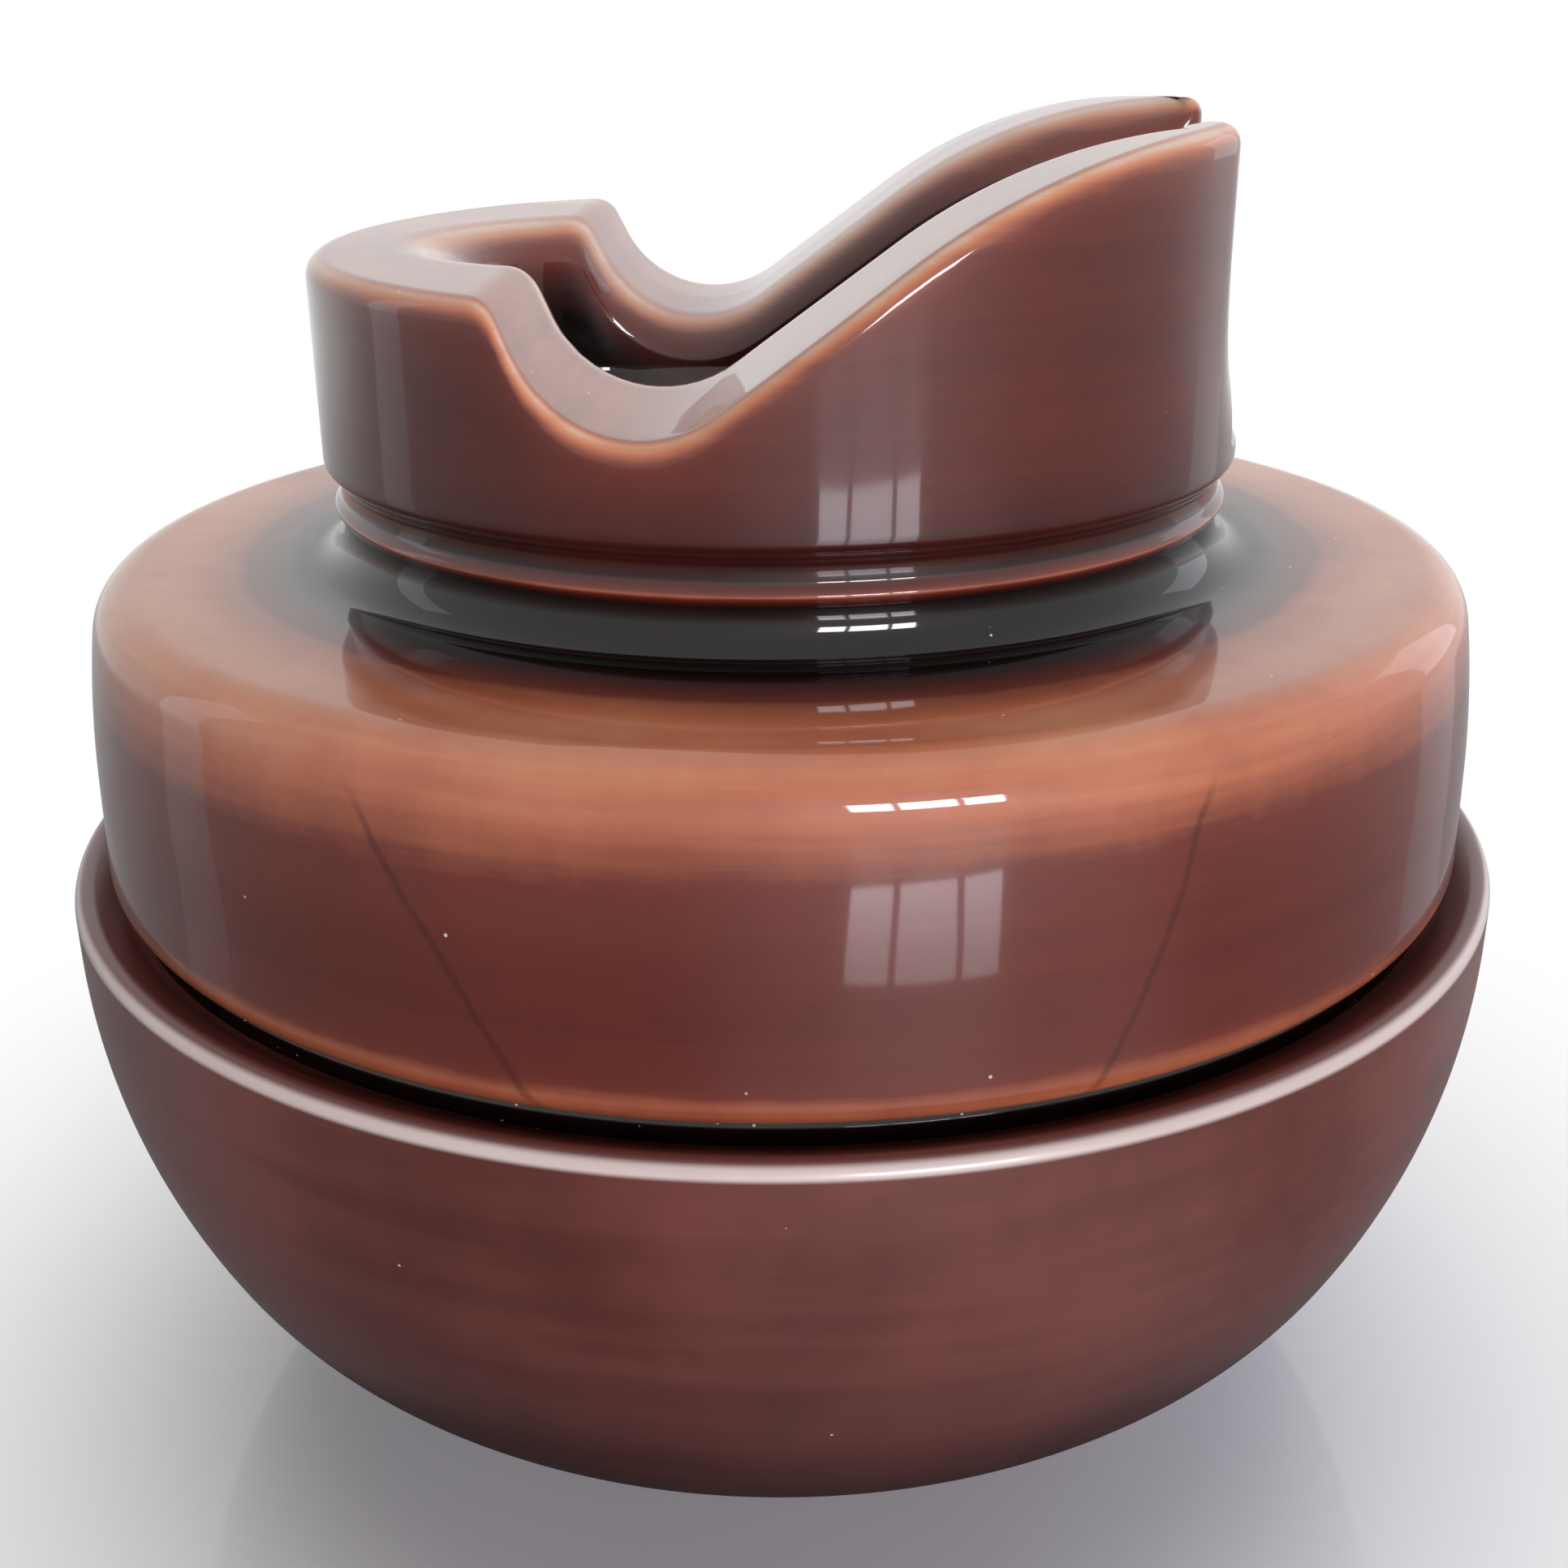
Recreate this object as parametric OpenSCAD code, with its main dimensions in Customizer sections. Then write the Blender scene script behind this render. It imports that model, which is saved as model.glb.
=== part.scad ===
// Pin insulator of glazed porcelain: a slotted saddle head on a neck and shed, cemented into a bowl-shaped
// lower shell, with a threaded metal thimble for the pin.
// The origin is the centre of the flat foot ring. +Z points up, along the pin, and +X along the slot, towards
// its open end. All lengths are in millimetres.

/* [Saddle] */
// Radius of the collar that carries the saddle
collar_r = 50.2; // [46:0.1:54]
// Height of the saddle's lowest point above the neck
valley_h = 10.5; // [7:0.1:14]
// Distance of the saddle's lowest point from the pin axis, towards the closed end
valley_offset = 10.5; // [5:0.5:14]
// Radius of the valley of the saddle
valley_r = 12.5; // [8:0.5:14]
// Height of the flat back of the head above the saddle's lowest point
back_rise = 11.6; // [10:0.1:16]
// Slope of the drop from the flat back into the valley, in degrees
drop_angle = 65; // [50:1:70]
// Radius of the edge between the flat back and the drop
drop_edge_r = 3; // [1:0.5:4]
// Slope of the ramp from the valley up to the horn, in degrees
ramp_angle = 36; // [25:1:45]
// Length of the straight part of the ramp
ramp_len = 19.8; // [12:0.1:24]
// Radius with which the ramp levels out at the horn
horn_r = 55; // [35:1:60]
// Slope that is left at the end of the horn, in degrees
horn_angle = 5; // [0:1:10]

/* [Slot] */
// Width of the slot
slot_w = 30; // [24:0.5:40]
// Sideways shift of the slot from the pin axis
slot_shift = -1; // [-4:0.1:4]
// Thickness of the wall that closes the slot, at its tip
slot_end_wall = 17; // [8:0.5:22]
// Depth of the slot below the saddle's lowest point
slot_depth = 8.2; // [6:0.1:9]

/* [Neck] */
// Height of the neck, from the shoulder of the shed to the collar
neck_h = 11.2; // [10.5:0.1:14]
// Depth of the neck below the collar
neck_depth = 1.6; // [1:0.1:3]
// Radius of the fillet at the foot of the neck
neck_fillet_r = 4; // [1.5:0.1:4.5]
// Height of the bead above the shoulder
bead_h = 6.2; // [5.8:0.1:6.8]
// How far the bead stands out from the neck
bead_out = 0.8; // [0.4:0.1:1.2]
// Width of the bead
bead_w = 2.6; // [1.6:0.1:3]

/* [Shed] */
// Radius of the shed at its lower edge
shed_r = 77.2; // [72:0.1:80]
// Height of the shed, from its underside to the shoulder
shed_h = 32.1; // [30:0.1:45]
// Radius of the lower edge of the shed
shed_edge_r = 2.4; // [0.5:0.1:3]
// Lean of the shed wall, in degrees
shed_lean = 1.3; // [0:0.1:3]
// Radius of the curve that draws in the upper shed wall
shed_curve_r = 110; // [80:1:130]
// Lean of the shed wall where the shoulder starts, in degrees
shoulder_lean = 9.5; // [6:0.1:12]
// Radius of the shoulder
shoulder_r = 5; // [4:0.1:8]

/* [Bowl] */
// Radius of the foot ring
foot_r = 34; // [31:0.1:36]
// Slope of the bowl at the foot, in degrees
foot_angle = 17.5; // [15:0.5:20]
// Radius of the bottom of the bowl
bottom_r = 93.5; // [90:0.5:98]
// Slope where the bottom turns into the haunch, in degrees
haunch_angle = 38; // [36:0.5:40]
// Radius of the haunch
haunch_r = 36.5; // [35:0.5:39]
// Slope where the haunch turns into the side, in degrees
side_angle = 63; // [61:0.5:65]
// Radius of the side of the bowl
side_r = 72; // [70:0.5:74]
// Height of the bowl, from the foot to the top of the rim
bowl_h = 65.8; // [65:0.1:67]
// Radius of the rounded top of the rim
rim_r = 1.6; // [1:0.1:2.5]
// Slope of the rim's inner face, in degrees
rim_slope = 28; // [22:1:40]
// Depth of the land behind the rim, below its top
land_drop = 1.9; // [1.5:0.1:2.4]
// Radius of the mouth in the foot
mouth_r = 26; // [25:0.1:28]
// Width of the chamfer around the mouth
mouth_chamfer = 2; // [1:0.1:3]

/* [Joint between the shells] */
// Radius of the socket in the bowl
socket_r = 62; // [60:0.1:64]
// Radius of the corner at the bottom of the socket
socket_corner_r = 24; // [20:0.5:26]
// Thickness of the bowl under the socket
floor_t = 15; // [12:0.1:16]
// Thickness of the cement between spigot and socket
shell_gap = 4; // [3:0.1:5]
// Height of the gap between the rim's land and the underside of the shed
joint_t = 2.4; // [1.2:0.1:3]
// Width of the bead of glaze in the joint
glaze_w = 4.2; // [3:0.1:6]
// Depth of the groove outside the bead of glaze
groove_depth = 2.6; // [1.5:0.1:3.5]
// Depth of the hollow in the face of the bead of glaze
glaze_hollow = 0.5; // [0.2:0.1:0.8]
// Distance of the felt ring under the spigot from the mouth
cushion_setback = 1; // [0.5:0.1:2]
// Width of the felt ring
cushion_w = 8; // [6:0.1:9]
// Height of the sand bands, half-way up the straight part of spigot and socket
band_h = 16; // [10:0.5:20]
// Thickness of a sand band
sand_t = 0.7; // [0.4:0.1:1]

/* [Pin hole] */
// Radius of the thread at its crests
thread_r = 15.9; // [12:0.1:16.5]
// Depth of the thread
thread_depth = 1.5; // [1:0.1:2]
// Pitch of the thread
thread_pitch = 6.35; // [5:0.05:6.5]
// Number of thread grooves
thread_count = 7; // [5:1:7]
// Width of a thread crest
crest_w = 1.8; // [1:0.1:2.4]
// Wall of the thimble outside the thread
thimble_wall = 3; // [2:0.1:3.2]
// Thickness of the thimble's closed end
thimble_end = 3; // [2:0.1:4]
// Thickness of the cement around the thimble
thimble_gap = 3.6; // [2.5:0.1:4]
// Thickness of the cork disc on the thimble
disc_t = 3; // [2:0.1:4]
// Height of the sand band in the pin hole
hole_band_h = 34; // [20:1:38]
// Height of that band above the mouth of the pin hole
hole_band_lift = 6; // [4:0.5:8]

/* [Hidden] */
$fn = 128;
arc_steps = 8;
over = 5;

// Heights of the shells, from the foot up
land_z = bowl_h - land_drop;
shed_z = land_z + joint_t;
shoulder_z = shed_z + shed_h;
neck_z = shoulder_z + neck_h;
valley_z = neck_z + valley_h;
slot_z = valley_z - slot_depth;
back_z = valley_z + back_rise;

// Radii of the neck, the spigot and its corner
neck_r = collar_r - neck_depth;
spigot_r = socket_r - shell_gap;
spigot_z = floor_t + shell_gap;
corner_c = [socket_r - socket_corner_r, floor_t + socket_corner_r];
band_z = (corner_c.y + land_z - band_h) / 2;
cushion_in_r = mouth_r + cushion_setback;
cushion_r = cushion_in_r + cushion_w;

// The pin hole, the thimble and its thread
thread_root_r = thread_r + thread_depth;
thimble_r = thread_root_r + thimble_wall;
hole_r = thimble_r + thimble_gap;
thread_len = thread_count * thread_pitch + crest_w;
thimble_h = thread_len + thimble_end;
hole_h = thimble_h + disc_t;

// Points of an arc that starts at p, turns left from heading h0 to heading h1 and has radius r.
// Headings are in degrees from the first axis. A right turn has h1 < h0.
function arc_from(p, h0, h1, r) =
    let (s = h1 > h0 ? r : -r)
    [for (i = [0:arc_steps])
        let (h = h0 + (h1 - h0) * i / arc_steps)
        p + s * [sin(h) - sin(h0), cos(h0) - cos(h)]];
function end_of(points) = points[len(points) - 1];

// Outer side of the bowl, from the foot over the rim, as tangent arcs. The rim's inner face falls straight
// from the last arc to the land
bowl_bottom = arc_from([foot_r, 0], foot_angle, haunch_angle, bottom_r);
bowl_haunch = arc_from(end_of(bowl_bottom), haunch_angle, side_angle, haunch_r);
bowl_side = arc_from(end_of(bowl_haunch), side_angle, 90, side_r);
bowl_r = end_of(bowl_side).x;
bowl_rim = arc_from([bowl_r, bowl_h - rim_r], 90, 180 + rim_slope, rim_r);
land_r = end_of(bowl_rim).x - (end_of(bowl_rim).y - land_z) / tan(rim_slope);
glaze_face_r = land_r - groove_depth;
glaze_in_r = glaze_face_r - glaze_w;

// Outer side of the shed, from its underside to the shoulder
shed_edge = arc_from([shed_r - shed_edge_r, shed_z], 0, 90 + shed_lean, shed_edge_r);
upper_wall_h = shed_curve_r * (cos(90 + shed_lean) - cos(90 + shoulder_lean));
shoulder_h = shoulder_r * (cos(90 + shoulder_lean) + 1);
lower_wall_h = shoulder_z - end_of(shed_edge).y - upper_wall_h - shoulder_h;
lower_wall_top = end_of(shed_edge) + lower_wall_h * [-tan(shed_lean), 1];
shed_upper = arc_from(lower_wall_top, 90 + shed_lean, 90 + shoulder_lean, shed_curve_r);
shed_shoulder = arc_from(end_of(shed_upper), 90 + shoulder_lean, 180, shoulder_r);

// Side of the neck, from the shoulder to the collar, with the bead as a raised cosine
bead_z = shoulder_z + bead_h;
neck_foot = arc_from([neck_r + neck_fillet_r, shoulder_z], 180, 90, neck_fillet_r);
neck_bead = [for (i = [-arc_steps:arc_steps])
    let (t = i / arc_steps)
    [neck_r + bead_out * (1 + cos(180 * t)) / 2, bead_z + t * bead_w / 2]];
flare_z = bead_z + bead_w / 2 + (neck_z - bead_z - bead_w / 2) / 3;
neck_flare = [for (i = [0:arc_steps])
    let (t = i / arc_steps)
    [neck_r + neck_depth * (1 - cos(180 * t)) / 2, flare_z + t * (neck_z - flare_z)]];

// The saddle's outline, seen along -Y: flat back, drop, valley, ramp and horn
saddle_valley = arc_from([-valley_offset - valley_r * sin(drop_angle),
                          valley_z + valley_r * (1 - cos(drop_angle))],
                         -drop_angle, ramp_angle, valley_r);
drop_h = back_z - drop_edge_r * (1 - cos(drop_angle)) - saddle_valley[0].y;
drop_top = saddle_valley[0] + drop_h * [-1 / tan(drop_angle), 1];
saddle_edge = arc_from([drop_top.x - drop_edge_r * sin(drop_angle), back_z], 0, -drop_angle, drop_edge_r);
ramp_top = end_of(saddle_valley) + ramp_len * [cos(ramp_angle), sin(ramp_angle)];
saddle_horn = arc_from(ramp_top, ramp_angle, horn_angle, horn_r);
far_x = collar_r + over;
horn_end = [far_x, end_of(saddle_horn).y + (far_x - end_of(saddle_horn).x) * tan(horn_angle)];
head_top = horn_end.y + over;

// A ring with a rectangular section
module ring(r_in, r_out, z0, h) {
    translate([0, 0, z0])
        difference() {
            cylinder(r = r_out, h = h);
            translate([0, 0, -over])
                cylinder(r = r_in, h = h + 2 * over);
        }
}

// Section of the cavity in the bowl that takes the spigot; inset = shell_gap gives the spigot itself
module socket_section(inset, top) {
    corner = arc_from([corner_c.x, floor_t + inset], 0, 90, socket_corner_r - inset);
    polygon(concat([[0, floor_t + inset]], corner, [[socket_r - inset, top], [0, top]]));
}

// Everything above the saddle's outline
module above_saddle() {
    rotate([90, 0, 0])
        linear_extrude(height = 2 * far_x, center = true)
            polygon(concat([[-far_x, back_z]], saddle_edge, saddle_valley, saddle_horn,
                           [horn_end, [far_x, head_top + over], [-far_x, head_top + over]]));
}

// Slot with a half-round closed end, open towards +X
module slot() {
    tip_x = -collar_r + slot_end_wall + slot_w / 2;
    translate([tip_x, slot_shift, slot_z]) {
        cylinder(r = slot_w / 2, h = head_top);
        translate([0, -slot_w / 2, 0])
            cube([far_x - tip_x, slot_w, head_top]);
    }
}

module head_shell() {
    color("saddlebrown")
        difference() {
            union() {
                rotate_extrude()
                    polygon(concat([[0, shed_z]], shed_edge, shed_upper, shed_shoulder, neck_foot, neck_bead,
                                   neck_flare, [[collar_r, head_top], [0, head_top]]));
                rotate_extrude()
                    socket_section(shell_gap, shed_z + shed_h / 2);
            }
            above_saddle();
            slot();
            translate([0, 0, spigot_z - over])
                cylinder(r = hole_r, h = hole_h + over);
        }
}

module bowl_shell() {
    color("sienna")
        difference() {
            rotate_extrude()
                polygon(concat([[0, 0]], bowl_bottom, bowl_haunch, bowl_side, bowl_rim,
                               [[land_r, land_z], [0, land_z]]));
            rotate_extrude()
                socket_section(0, bowl_h + over);
            translate([0, 0, -over])
                cylinder(r = mouth_r, h = floor_t + 2 * over);
            rotate_extrude()
                polygon([[0, -over], [mouth_r + mouth_chamfer + over, -over], [mouth_r, mouth_chamfer],
                         [0, mouth_chamfer]]);
        }
}

// Bead of dark glaze with a hollow face, between the rim's land and the underside of the shed
module joint_glaze() {
    color("black")
        rotate_extrude()
            polygon(concat([[glaze_in_r, shed_z], [glaze_in_r, land_z]],
                           [for (i = [0:arc_steps])
                               let (t = i / arc_steps)
                               [glaze_face_r - glaze_hollow * sin(180 * t), land_z + t * joint_t]]));
}

module shell_cement() {
    color("lightgray")
        difference() {
            union() {
                rotate_extrude()
                    socket_section(0, land_z);
                translate([0, 0, land_z])
                    cylinder(r = glaze_in_r, h = joint_t);
            }
            rotate_extrude()
                socket_section(shell_gap, shed_z + over);
            cylinder(r = cushion_r, h = spigot_z);
            ring(spigot_r - over, spigot_r + sand_t, band_z, band_h);
            ring(socket_r - sand_t, socket_r + over, band_z, band_h);
        }
}

module spigot_sand() {
    color("tan")
        ring(spigot_r, spigot_r + sand_t, band_z, band_h);
}

module socket_sand() {
    color("tan")
        ring(socket_r - sand_t, socket_r, band_z, band_h);
}

module spigot_cushion() {
    color("dimgray")
        ring(cushion_in_r, cushion_r, floor_t, shell_gap);
}

// Closed-ended thimble; the thread is a row of ring grooves between level crests
module pin_thimble() {
    groove_w = thread_pitch - crest_w;
    color("silver")
        translate([0, 0, spigot_z])
            difference() {
                cylinder(r = thimble_r, h = thimble_h);
                translate([0, 0, -over])
                    cylinder(r = thread_r, h = thread_len + over);
                for (i = [0:thread_count - 1])
                    translate([0, 0, crest_w + i * thread_pitch])
                        rotate_extrude()
                            polygon([[0, 0], [thread_r, 0], [thread_root_r, groove_w / 3],
                                     [thread_root_r, 2 * groove_w / 3], [thread_r, groove_w],
                                     [0, groove_w]]);
            }
}

module thimble_cement() {
    color("lightgray")
        difference() {
            ring(thimble_r, hole_r, spigot_z, hole_h);
            ring(hole_r - sand_t, hole_r + over, spigot_z + hole_band_lift, hole_band_h);
        }
}

module hole_sand() {
    color("tan")
        ring(hole_r - sand_t, hole_r, spigot_z + hole_band_lift, hole_band_h);
}

module thimble_disc() {
    color("peru")
        translate([0, 0, spigot_z + thimble_h])
            cylinder(r = thimble_r, h = disc_t);
}

head_shell();
bowl_shell();
joint_glaze();
shell_cement();
spigot_sand();
socket_sand();
spigot_cushion();
pin_thimble();
thimble_cement();
hole_sand();
thimble_disc();
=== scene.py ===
import bmesh
import bpy
import numpy as np
from mathutils import Euler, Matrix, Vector


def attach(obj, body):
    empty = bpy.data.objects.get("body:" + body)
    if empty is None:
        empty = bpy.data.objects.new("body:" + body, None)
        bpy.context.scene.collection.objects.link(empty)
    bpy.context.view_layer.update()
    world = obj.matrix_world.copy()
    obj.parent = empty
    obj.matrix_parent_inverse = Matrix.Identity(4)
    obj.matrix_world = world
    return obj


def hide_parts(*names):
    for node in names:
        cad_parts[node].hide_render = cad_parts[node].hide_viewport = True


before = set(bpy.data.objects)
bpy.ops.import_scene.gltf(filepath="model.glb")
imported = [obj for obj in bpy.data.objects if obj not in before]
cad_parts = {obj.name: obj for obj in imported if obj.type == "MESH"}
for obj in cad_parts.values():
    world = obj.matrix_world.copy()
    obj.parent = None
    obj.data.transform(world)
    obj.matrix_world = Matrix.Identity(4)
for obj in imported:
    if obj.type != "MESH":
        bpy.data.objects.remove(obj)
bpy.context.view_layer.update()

# Camera -------------------------------------------------------------------------------------------
# A close camera at the height of the insulator's horn looks down over the shed, a little to the right of the
# slot's cross axis, with a plain 45 degree lens.
camera_data = bpy.data.cameras.new("camera")
camera_data.sensor_width = 36.0
camera_data.lens = 43.43
camera_data.clip_start = 0.01
camera_data.clip_end = 20.0
camera = bpy.data.objects.new("camera", camera_data)
look_down, look_left, roll = 21.84, 2.84, -0.42
camera.location = (0.0108, -0.2125, 0.1522)
camera.rotation_euler = (
    Euler((0.0, 0.0, np.radians(look_left))).to_matrix()
    @ Euler((np.radians(90 - look_down), 0.0, 0.0)).to_matrix()
    @ Euler((0.0, 0.0, np.radians(roll))).to_matrix()
).to_euler()
bpy.context.scene.collection.objects.link(camera)
bpy.context.scene.camera = camera

# Head shell ---------------------------------------------------------------------------------------
# The upper shell is one turned porcelain body: a spigot, the drum-shaped shed, a low neck with a thin bead
# and the collar. The saddle and the slot are cut across the collar while the clay is leather-hard, their
# edges are sponged round, and the whole outside is dipped in brown glaze before the firing.
MM = 0.001


def arc(start, turn_from, turn_to, radius, count=16):
    """Arc that starts at start and turns its heading from turn_from to turn_to degrees, measured from the
    first axis: each point is the start plus the radius times the change of (sin, -cos) of the heading."""
    heading = np.radians(np.linspace(turn_from, turn_to, count))
    side = radius if turn_to > turn_from else -radius
    turn = np.stack([np.sin(heading) - np.sin(heading[0]), np.cos(heading[0]) - np.cos(heading)], 1)
    return np.array(start) + side * turn


def line(start, end, count=8):
    """Evenly spaced points from start to end."""
    return np.linspace(start, end, count)


def spin(profile, angles):
    """Grid of a turned surface: a profile point (radius, height) at angle a is (radius cos a, radius sin a,
    height). Rows follow the profile and columns the angles."""
    radius, height = np.asarray(profile, float).T[:, :, None]
    return np.stack([radius * np.cos(angles), radius * np.sin(angles), height + 0 * angles], 2)


def shell(name, patches, coats_and_highlights=None, sharp=50):
    """One closed mesh from grids of points in millimetres: each grid gives its quads, the grids are joined
    where they meet, the faces are turned outwards, and edges that bend more than sharp degrees are shaded
    sharp. coats_and_highlights has a glaze thickness for every point, from 0 where it ran thin to 1 where it
    pooled; on the head's top edges and its bead the pale low values are partly painted highlights."""
    points = [patch.reshape(-1, 3) * MM for patch in patches]
    starts = np.cumsum([0] + [len(p) for p in points[:-1]])
    quads = []
    for patch, start in zip(patches, starts):
        index = start + np.arange(patch.shape[0] * patch.shape[1]).reshape(patch.shape[:2])
        corners = [index[:-1, :-1], index[:-1, 1:], index[1:, 1:], index[1:, :-1]]
        quads.append(np.stack(corners, 2).reshape(-1, 4))
    mesh = bpy.data.meshes.new(name)
    mesh.from_pydata(np.concatenate(points), [], np.concatenate(quads))
    if coats_and_highlights is not None:
        thickness = np.concatenate([np.broadcast_to(coat, patch.shape[:2]).ravel()
                                    for coat, patch in zip(coats_and_highlights, patches)])
        mesh.attributes.new("coat", "FLOAT", "POINT").data.foreach_set("value", thickness)
    made = bmesh.new()
    made.from_mesh(mesh)
    same_point, no_length = 0.002 * MM, 0.001 * MM
    bmesh.ops.remove_doubles(made, verts=made.verts, dist=same_point)
    bmesh.ops.dissolve_degenerate(made, edges=made.edges, dist=no_length)
    bmesh.ops.recalc_face_normals(made, faces=made.faces)
    if made.calc_volume(signed=True) < 0:
        bmesh.ops.reverse_faces(made, faces=made.faces)
    made.to_mesh(mesh)
    made.free()
    mesh.polygons.foreach_set("use_smooth", np.ones(len(mesh.polygons), bool))
    mesh.set_sharp_from_angle(angle=np.radians(sharp))
    piece = bpy.data.objects.new(name, mesh)
    bpy.context.scene.collection.objects.link(piece)
    return piece


def smooth_step(value):
    """0 below 0, 1 above 1, and 3t^2 - 2t^3 between them."""
    t = np.clip(value, 0, 1)
    return t * t * (3 - 2 * t)


# Heights and radii of the head shell, in millimetres
land_z, joint_t = 63.9, 2.4
shed_z = land_z + joint_t
shoulder_z = shed_z + 32.1
neck_z = shoulder_z + 11.2
valley_z = neck_z + 10.5
slot_z = valley_z - 8.2
back_z = valley_z + 11.6
collar_r, neck_r = 50.2, 48.6
spigot_r, spigot_z, spigot_corner_r = 58.0, 19.0, 20.0
hole_r, hole_top = 24.0, 71.25

# Saddle: flat back, drop, valley, ramp and horn, as a height over x
valley_x, valley_r, drop, ramp = -10.5, 12.5, 65.0, 36.0
saddle_valley = arc([valley_x - valley_r * np.sin(np.radians(drop)),
                     valley_z + valley_r * (1 - np.cos(np.radians(drop)))], -drop, ramp, valley_r, 60)
drop_edge_r = 3.0
drop_h = back_z - drop_edge_r * (1 - np.cos(np.radians(drop))) - saddle_valley[0, 1]
drop_top = saddle_valley[0] + drop_h * np.array([-1 / np.tan(np.radians(drop)), 1])
drop_edge = arc([drop_top[0] - drop_edge_r * np.sin(np.radians(drop)), back_z], 0, -drop, drop_edge_r, 24)
ramp_len, horn_lean, horn_r, horn_run = 19.8, 5.0, 55.0, 20.0
ramp_top = saddle_valley[-1] + ramp_len * np.array([np.cos(np.radians(ramp)), np.sin(np.radians(ramp))])
horn = arc(ramp_top, ramp, horn_lean, horn_r, 60)
horn_end = horn[-1] + horn_run * np.array([1, np.tan(np.radians(horn_lean))])
saddle_line = np.concatenate([[[-60.0, back_z]], drop_edge, saddle_valley, horn, [horn_end]])


# The saddle is cut by hand and falls a little towards the near side
near_fall, fall_from = 0.022, 34.0


def saddle(x, y):
    """Height of the saddle: its outline over x, less a small fall that grows as y drops below fall_from."""
    return np.interp(x, saddle_line[:, 0], saddle_line[:, 1]) - near_fall * np.maximum(fall_from - y, 0)


# Slot: straight sides and a half-round closed end, open towards +X
slot_half, slot_y, end_wall = 15.0, -1.0, 17.0
tip_x = -collar_r + end_wall + slot_half
near_mouth = np.arcsin((slot_y - slot_half) / collar_r)
far_mouth = np.arcsin((slot_y + slot_half) / collar_r)

# Walk round the collar from the near mouth corner, past the closed end, to the far mouth corner. Beside the
# slot each outer point has its inner one straight across the wall, at the same x, so that the saddle's edges
# run true; round the closed end the two go in step. Steps are fine at the corners and at the drop.
corner_steps = np.radians([0, 0.5, 1.0, 1.6, 2.3, 3.1, 4.0, 5.0])
drop_from_x, drop_to_x, end_from_x = -20.0, -27.5, -30.0
drop_start, drop_stop, end_turn_start = np.arccos(np.array([drop_from_x, drop_to_x, end_from_x]) / collar_r)


def side_turns(mouth):
    """Angles along one side, from the mouth's corner to where the closed end starts."""
    return np.concatenate([mouth + corner_steps[:-1],
                           np.linspace(mouth + corner_steps[-1], drop_start, 58),
                           np.linspace(drop_start, drop_stop, 22)[1:],
                           np.linspace(drop_stop, end_turn_start, 4)[1:]])


near_turn = -side_turns(-near_mouth)
far_turn = side_turns(far_mouth)[::-1] - 2 * np.pi
end_turn = np.linspace(near_turn[-1], far_turn[0], 81)[1:-1]
walk = np.concatenate([near_turn, end_turn, far_turn])
outer = collar_r * np.stack([np.cos(walk), np.sin(walk)], 1)
outer_in = -outer / collar_r
side_x = collar_r * np.cos(near_turn)
far_x = collar_r * np.cos(far_turn)
end_start = np.arccos((side_x[-1] - tip_x) / slot_half)
round_end = np.linspace(-end_start, end_start - 2 * np.pi, 81)[1:-1]


def slot_side(x, side):
    """Points of the slot's wall at x, on side -1 or 1, and the directions from them into the porcelain."""
    cosine = np.minimum(x - tip_x, 0) / slot_half
    way = np.stack([cosine, side * np.sqrt(1 - cosine**2)], 1)
    return np.stack([x, slot_y + slot_half * way[:, 1]], 1), way


near_points, near_way = slot_side(side_x, -1)
far_points, far_way = slot_side(far_x, 1)
end_way = np.stack([np.cos(round_end), np.sin(round_end)], 1)
inner = np.concatenate([near_points, [tip_x, slot_y] + slot_half * end_way, far_points])
inner_in = np.concatenate([near_way, end_way, far_way])
slot_out = -inner_in


def round_corner(path, inward, apex, along, other, radius):
    """Rounds the upright corner at apex: a point at a distance q along the side moves onto an arc of the
    radius that touches both sides, at the share q / tangent length of the arc's half. Returns points and
    inward directions; along and other point away from the apex down this side and the other one."""
    bisector = (along + other) / np.linalg.norm(along + other)
    half = np.arccos(np.clip(along @ bisector, -1, 1))
    tangent = radius / np.tan(half)
    centre = apex + bisector * radius / np.sin(half)
    distance = np.linalg.norm(path - apex, axis=1)
    share = np.clip(distance / tangent, 0, 1)
    to_tangent = (apex + along * tangent - centre) / radius
    sweep = np.arccos(np.clip(to_tangent @ -bisector, -1, 1))
    out = np.sin((1 - share) * sweep)[:, None] * -bisector + np.sin(share * sweep)[:, None] * to_tangent
    out /= np.sin(sweep)
    on_line = apex + along * np.minimum(distance, tangent)[:, None]
    near = (distance < tangent)[:, None]
    moved = np.where(near, path + centre + radius * out - on_line, path)
    return moved, np.where(near, -out, inward)


near_corner_r, far_corner_r, corner_points = 5.5, 2.5, 30
rounded_outer, rounded_inner = outer.copy(), inner.copy()
for apex_at, along_turn, corner_r in ((0, 1.0, near_corner_r), (-1, -1.0, far_corner_r)):
    apex = outer[apex_at]
    tangent_way = along_turn * np.array([apex[1], -apex[0]]) / collar_r
    slot_way = np.array([-1.0, 0.0])
    zone = slice(0, corner_points) if apex_at == 0 else slice(-corner_points, None)
    rounded_outer[zone], outer_in[zone] = round_corner(
        rounded_outer[zone], outer_in[zone], apex, tangent_way, slot_way, corner_r)
    rounded_inner[zone], inner_in[zone] = round_corner(
        rounded_inner[zone], inner_in[zone], apex, slot_way, tangent_way, corner_r)

# Radius of the outer top edge, width and height of the slot's softer one, and the height over which the
# upright corners grow round
edge_r, blend_h = 2.2, 21.0
roll_w, roll_h, roll_margin = 8.5, 4.5, 4.0
wall_foot_z = neck_z + 0.6


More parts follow.
